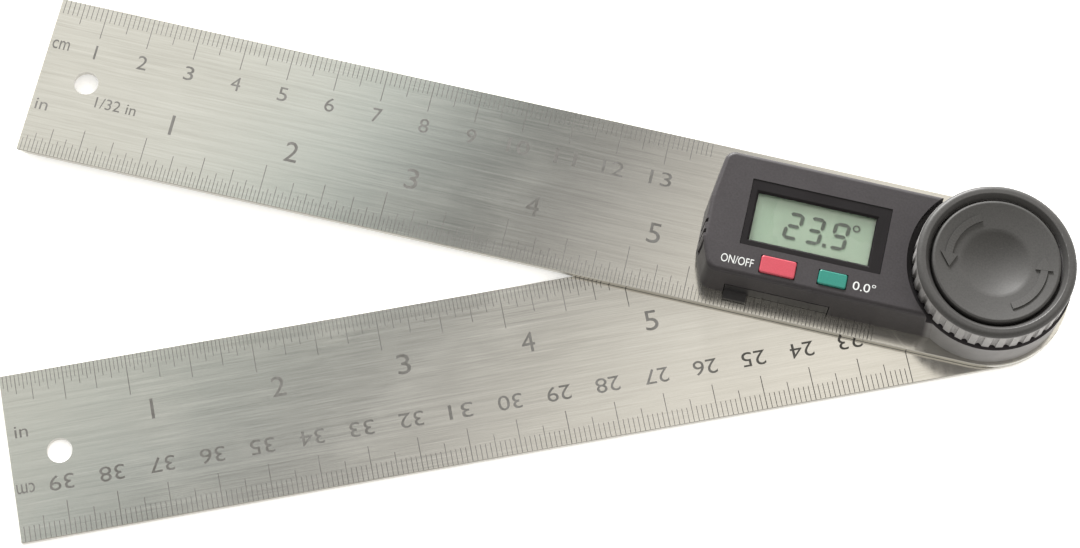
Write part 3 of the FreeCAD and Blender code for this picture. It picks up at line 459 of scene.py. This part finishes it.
def lettering(name, items, z0, z1, mat, body, turn=0.0, bold=0.0):
    """Plain numerals and unit marks. items: (text, centre x, centre y, height, width or None, rotation), in mm."""
    verts, faces = [], []
    for text, cx, cy, height, width, rot in items:
        cu = bpy.data.curves.new("glyph", "FONT")
        cu.body = text
        cu.size = 1.0
        cu.offset = bold
        cu.resolution_u = 4
        cu.extrude = 0.5
        ob = bpy.data.objects.new("glyph", cu)
        me = bpy.data.meshes.new_from_object(ob)
        xs = [v.co.x for v in me.vertices]
        ys = [v.co.y for v in me.vertices]
        w, h = max(xs) - min(xs), max(ys) - min(ys)
        mx, my = (max(xs) + min(xs)) / 2, (max(ys) + min(ys)) / 2
        ky = height / h
        kx = ky if width is None else width / w
        base = len(verts)
        for v in me.vertices:
            x, y = (v.co.x - mx) * kx, (v.co.y - my) * ky
            cr, sr = math.cos(rot), math.sin(rot)
            x, y = cr * x - sr * y + cx, sr * x + cr * y + cy
            ct, st = math.cos(turn), math.sin(turn)
            x, y = ct * x - st * y, st * x + ct * y
            z = z1 if v.co.z > 0 else z0
            verts.append((x * MM, y * MM, z * MM))
        for p in me.polygons:
            faces.append([base + i for i in p.vertices])
        bpy.data.meshes.remove(me)
        bpy.data.objects.remove(ob)
        bpy.data.curves.remove(cu)
    me = bpy.data.meshes.new(name)
    me.from_pydata(verts, [], faces)
    me.validate()
    bm = bmesh.new()
    bm.from_mesh(me)
    bmesh.ops.remove_doubles(bm, verts=bm.verts, dist=2e-7)
    bmesh.ops.recalc_face_normals(bm, faces=bm.faces)
    bm.to_mesh(me)
    bm.free()
    me.materials.append(mat)
    o = bpy.data.objects.new(name, me)
    scene.collection.objects.link(o)
    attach(o, body)
    return o


HALF = 17.4 - 0.15  # the printed edge starts inside the broken edge
ZERO = -199.0


def metric(side, x_from, x_to):
    """Millimetre scale along one edge; side +1 is the +Y edge."""
    out = []
    for k in range(1, 400):
        x = ZERO + k
        if x > x_to:
            break
        if x < x_from:
            continue
        if k % 10 == 0:
            reach, w = 6.9, 0.17
        elif k % 5 == 0:
            reach, w = 4.7, 0.15
        else:
            reach, w = 3.1, 0.14
        y0, y1 = sorted((side * HALF, side * (HALF - reach)))
        out.append(bar(x - w / 2, y0, x + w / 2, y1))
    return out


def inches(side, x_from, x_to):
    """Inch scale in 32nds along one edge."""
    out = []
    for k in range(1, 500):
        x = ZERO + 25.4 * k / 32
        if x > x_to:
            break
        if x < x_from:
            continue
        if k % 32 == 0:
            reach, w = 8.4, 0.17
        elif k % 16 == 0:
            reach, w = 7.0, 0.16
        elif k % 8 == 0:
            reach, w = 5.8, 0.15
        elif k % 4 == 0:
            reach, w = 4.2, 0.14
        elif k % 2 == 0:
            reach, w = 3.4, 0.13
        else:
            reach, w = 2.6, 0.12
        y0, y1 = sorted((side * HALF, side * (HALF - reach)))
        out.append(bar(x - w / 2, y0, x + w / 2, y1))
    return out


T_MAIN = 2.6
T_BASE = 1.2
MARK = 0.012

slabs("upper_rule_ticks", metric(1, -199, -59.2) + inches(-1, -199, -20.0), T_MAIN - 0.01, T_MAIN + MARK, ETCH, "main_arm")
items = [(str(k), ZERO + 10 * k, 7.1, 3.1, 2.0 if k < 10 else 4.6, 0.0) for k in range(1, 14)]
items = [(t, x, y, h, (None if t == "1" else w), r) for t, x, y, h, w, r in items]
items += [("cm", -196.4, 7.1, 2.0, 3.6, 0.0)]
items += [(str(k), ZERO + 25.4 * k + 4.2, -4.9, 4.4, (None if k == 1 else 2.7), 0.0) for k in range(1, 6)]
items += [("in", -196.6, -6.6, 2.4, 2.6, 0.0), ("1/32 in", -181.7, -3.6, 2.4, 8.6, 0.0)]
lettering("upper_rule_numbers", items, T_MAIN - 0.01, T_MAIN + MARK, ETCH, "main_arm")

slabs("lower_rule_ticks", inches(1, -199, -19.0) + metric(-1, -199, -19.0), T_BASE - 0.01, T_BASE + MARK, ETCH, "base_arm", turn=REST)
items = [(str(k), ZERO + 25.4 * k + 3.8, 5.2, 4.2, (None if k == 1 else 2.7), 0.0) for k in range(1, 7)]
items += [(str(40 - k), ZERO + 10 * k - 0.5, -6.5, 3.1, 4.9, math.pi) for k in range(1, 18)]
items += [("cm", -196.6, -6.5, 2.0, 3.6, math.pi), ("in", -196.0, 5.2, 2.4, 2.6, 0.0)]
lettering("lower_rule_numbers", items, T_BASE - 0.01, T_BASE + MARK, ETCH, "base_arm", turn=REST)

# Display segments: 23.9 with a degree mark.
SEG = {
    "0": "abcdef", "1": "bc", "2": "abged", "3": "abgcd", "4": "fgbc", "5": "afgcd",
    "6": "afgedc", "7": "abc", "8": "abcdefg", "9": "abfgcd",
}


def digit(ch, x, y, w, h, k, slant=0.10):
    """Seven-segment digit with its lower left corner at (x, y)."""
    m = h / 2
    e = k / 2
    g = 0.09

    def hor(yc):
        return [(g + e, yc), (2 * e + g, yc - e), (w - 2 * e - g, yc - e), (w - e - g, yc), (w - 2 * e - g, yc + e), (2 * e + g, yc + e)]

    def ver(xc, lo, hi):
        return [(xc, lo + g + e * 0.6), (xc + e, lo + g + 1.6 * e), (xc + e, hi - g - 1.6 * e), (xc, hi - g - e * 0.6), (xc - e, hi - g - 1.6 * e), (xc - e, lo + g + 1.6 * e)]

    shapes = {
        "a": hor(h - e), "g": hor(m), "d": hor(e),
        "f": ver(e, m, h), "b": ver(w - e, m, h), "e": ver(e, 0, m), "c": ver(w - e, 0, m),
    }
    return [[(x + px + slant * py, y + py) for px, py in shapes[s]] for s in SEG[ch]]


def display(dx, dy):
    out = []
    out += digit("2", -42.7 + dx, -3.3 + dy, 3.4, 6.0, 0.78)
    out += digit("3", -38.3 + dx, -3.3 + dy, 3.4, 6.0, 0.78)
    out += [bar(-34.35 + dx, -3.3 + dy, -33.55 + dx, -2.5 + dy)]
    out += digit("9", -33.2 + dx, -3.3 + dy, 3.4, 6.0, 0.78)
    ring = []
    n = 20
    for i in range(n):
        a0, a1 = 2 * math.pi * i / n, 2 * math.pi * (i + 1) / n
        ring.append([
            (-28.2 + dx + r * math.cos(a), 2.1 + dy + r * math.sin(a))
            for r, a in ((0.42, a0), (0.80, a0), (0.80, a1), (0.42, a1))
        ])
    return out + ring


slabs("lcd_digits", display(0, 0), 11.31, 11.34, SEGMENT, "main_arm")
# Painted shadow: a darker green copy of the segments, offset down and to the right, stands in for the shadow the
# segments cast on the reflector.
slabs("lcd_digits_shadow", display(0.22, -0.28), 11.295, 11.306, PAINTED_SEGMENT_SHADOW, "main_arm")

# Printed words and figures beside the keys.
lettering("key_print", [("ON/OFF", -50.3, -10.55, 1.75, 6.6, 0.0), ("0.0°", -24.5, -10.3, 1.9, 4.6, 0.0)],
          12.99, 13.02, WHITE_INK, "main_arm", bold=0.0)


# Raised turn marks on the knob's cap, following its dish.
def dish_z(r):
    edge, depth = 12.3, 1.5
    big = (edge * edge + depth * depth) / (2 * depth)
    return 16.6 - depth + big - math.sqrt(big * big - r * r)


def dish_patch(bm, pts_polar, lift):
    """A raised patch: closed outline of (radius, angle), its top lift mm above the dish."""
    low, high = [], []
    for r, a in pts_polar:
        z = dish_z(r)
        x, y = r * math.cos(a), r * math.sin(a)
        low.append(bm.verts.new((x * MM, y * MM, (z - 0.05) * MM)))
        high.append(bm.verts.new((x * MM, y * MM, (z + lift) * MM)))
    bm.faces.new(high)
    bm.faces.new(low[::-1])
    n = len(pts_polar)
    for i in range(n):
        j = (i + 1) % n
        bm.faces.new((low[i], low[j], high[j], high[i]))


def turn_arrow(bm, r0, r1, a0, a1, head, lift):
    """Curved arrow from angle a0 to a1 with its head past a1."""
    steps = 18
    for i in range(steps):
        b0 = a0 + (a1 - a0) * i / steps
        b1 = a0 + (a1 - a0) * (i + 1) / steps
        dish_patch(bm, [(r0, b0), (r1, b0), (r1, b1), (r0, b1)], lift)
    mid = (r0 + r1) / 2
    spread = (r1 - r0) * 1.25
    dish_patch(bm, [(mid - spread, a1), (mid + spread, a1), (mid, a1 + head)], lift)


bm = bmesh.new()
turn_arrow(bm, 8.9, 10.3, math.radians(-62), math.radians(2), math.radians(17), 0.30)
turn_arrow(bm, 8.9, 10.3, math.radians(118), math.radians(182), math.radians(17), 0.30)
bmesh.ops.remove_doubles(bm, verts=bm.verts, dist=1e-7)
bmesh.ops.recalc_face_normals(bm, faces=bm.faces)
me = bpy.data.meshes.new("cap_turn_marks")
bm.to_mesh(me)
bm.free()
me.materials.append(CAP)
marks = bpy.data.objects.new("cap_turn_marks", me)
scene.collection.objects.link(marks)
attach(marks, "knob")

# ------------------------------------------------------------ floor, light


def floor_build(t, sh):
    c = t.coords()
    grain = t.noise(c, 220.0, 3.0, 0.5)
    t.put(sh.inputs["Base Color"], t.ramp(grain, [(0.3, (0.90, 0.90, 0.90)), (0.7, (0.93, 0.93, 0.93))]))
    t.put(sh.inputs["Roughness"], t.remap(grain, 0.3, 0.7, 0.80, 0.9))


FLOOR = material("floor_pale", floor_build, Specular_IOR_Level=0.1, Emission_Color=(1, 1, 1, 1), Emission_Strength=0.36)
me = bpy.data.meshes.new("floor")
size = 3.0
me.from_pydata([(-size, -size, -0.00005), (size, -size, -0.00005), (size, size, -0.00005), (-size, size, -0.00005)], [], [(0, 1, 2, 3)])
me.materials.append(FLOOR)
floor = bpy.data.objects.new("floor", me)
scene.collection.objects.link(floor)

world = bpy.data.worlds.new("studio")
scene.world = world
world.use_nodes = True
nt = world.node_tree
nt.nodes.clear()
t = Tree(nt)
out = t.n("ShaderNodeOutputWorld")
bg = t.n("ShaderNodeBackground")
nt.links.new(bg.outputs[0], out.inputs[0])
sep = t.n("ShaderNodeSeparateXYZ")
t.put(sep.inputs[0], t.n("ShaderNodeTexCoord").outputs["Generated"])
X, Y, Z = sep.outputs[0], sep.outputs[1], sep.outputs[2]
zc = t.math("MAXIMUM", Z, 0.08)
u = t.math("DIVIDE", X, zc)
v = t.math("DIVIDE", Y, zc)
# Two overhead soft boxes with a slanted gap between them.
line = t.math("ADD", t.math("MULTIPLY", t.math("SUBTRACT", v, 0.38), 0.476), -0.090)
off = t.math("SUBTRACT", u, line)
fac = t.math("ADD", t.math("DIVIDE", off, 0.8), 0.5, clamp=True)
tint = t.ramp(fac, [
    (0.20, (0.92, 0.905, 0.85)),
    (0.39, (0.92, 0.915, 0.86)),
    (0.444, (0.80, 0.91, 0.875)),
    (0.474, (0.34, 0.385, 0.38)),
    (0.504, (0.11, 0.115, 0.12)),
    (0.542, (0.19, 0.19, 0.195)),
    (0.590, (0.66, 0.645, 0.62)),
    (0.68, (1.16, 1.11, 1.02)),
], "EASE")
# Brighter behind and to the left, darker in front.
slope = t.math("ADD", t.math("MULTIPLY", Y, 0.50), t.math("MULTIPLY", X, -0.16))
level = t.math("ADD", slope, 1.03)
level = t.math("MAXIMUM", level, 0.35)
lev = t.n("ShaderNodeCombineColor")
for i in range(3):
    t.put(lev.inputs[i], level)
t.put(bg.inputs[0], t.mix(1.0, tint, lev.outputs[0], "MULTIPLY"))
bg.inputs[1].default_value = 1.05


def area(name, loc, target, size, power, colour):
    li = bpy.data.lights.new(name, "AREA")
    li.shape = "RECTANGLE"
    li.size, li.size_y = size
    li.energy = power
    li.color = colour
    o = bpy.data.objects.new(name, li)
    scene.collection.objects.link(o)
    o.location = loc
    o.rotation_euler = (Vector(target) - Vector(loc)).to_track_quat("-Z", "Y").to_euler()
    return o


area("soft_key", (-0.46, 1.02, 0.42), (-0.06, -0.02, 0), (0.55, 0.32), 47.0, (1.0, 0.99, 0.975))
area("soft_side", (1.2, -0.25, 0.5), (0, 0, 0.01), (0.5, 0.5), 3.0, (0.98, 0.99, 1.0))
